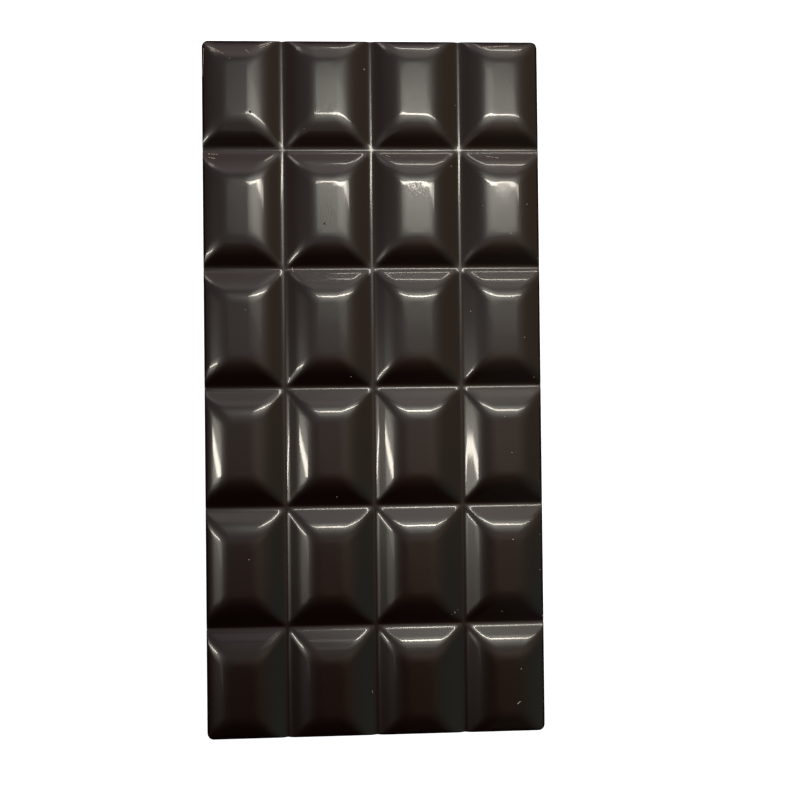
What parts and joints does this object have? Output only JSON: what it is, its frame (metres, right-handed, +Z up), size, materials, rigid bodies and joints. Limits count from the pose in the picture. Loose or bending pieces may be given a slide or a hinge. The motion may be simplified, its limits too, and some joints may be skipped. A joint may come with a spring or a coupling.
{
  "type": "chocolate bar",
  "caption": "Thin rectangular dark chocolate bar with a flat back and a moulded face of low pillow-shaped pieces divided by narrow grooves.",
  "frame": {"origin": "middle of the flat back, the face that the bar lies on", "axes": "+X across the bar, +Y along its length, +Z up out of the moulded face"},
  "size_m": [0.076, 0.1556, 0.0076],
  "materials": {
    "dark_chocolate": "near-black brown chocolate with a glossy moulded face, faint haze, specks and hairline scratches"
  },
  "bodies": {
    "root": {"chocolate_bar": "dark_chocolate"}
  },
  "joints": []
}
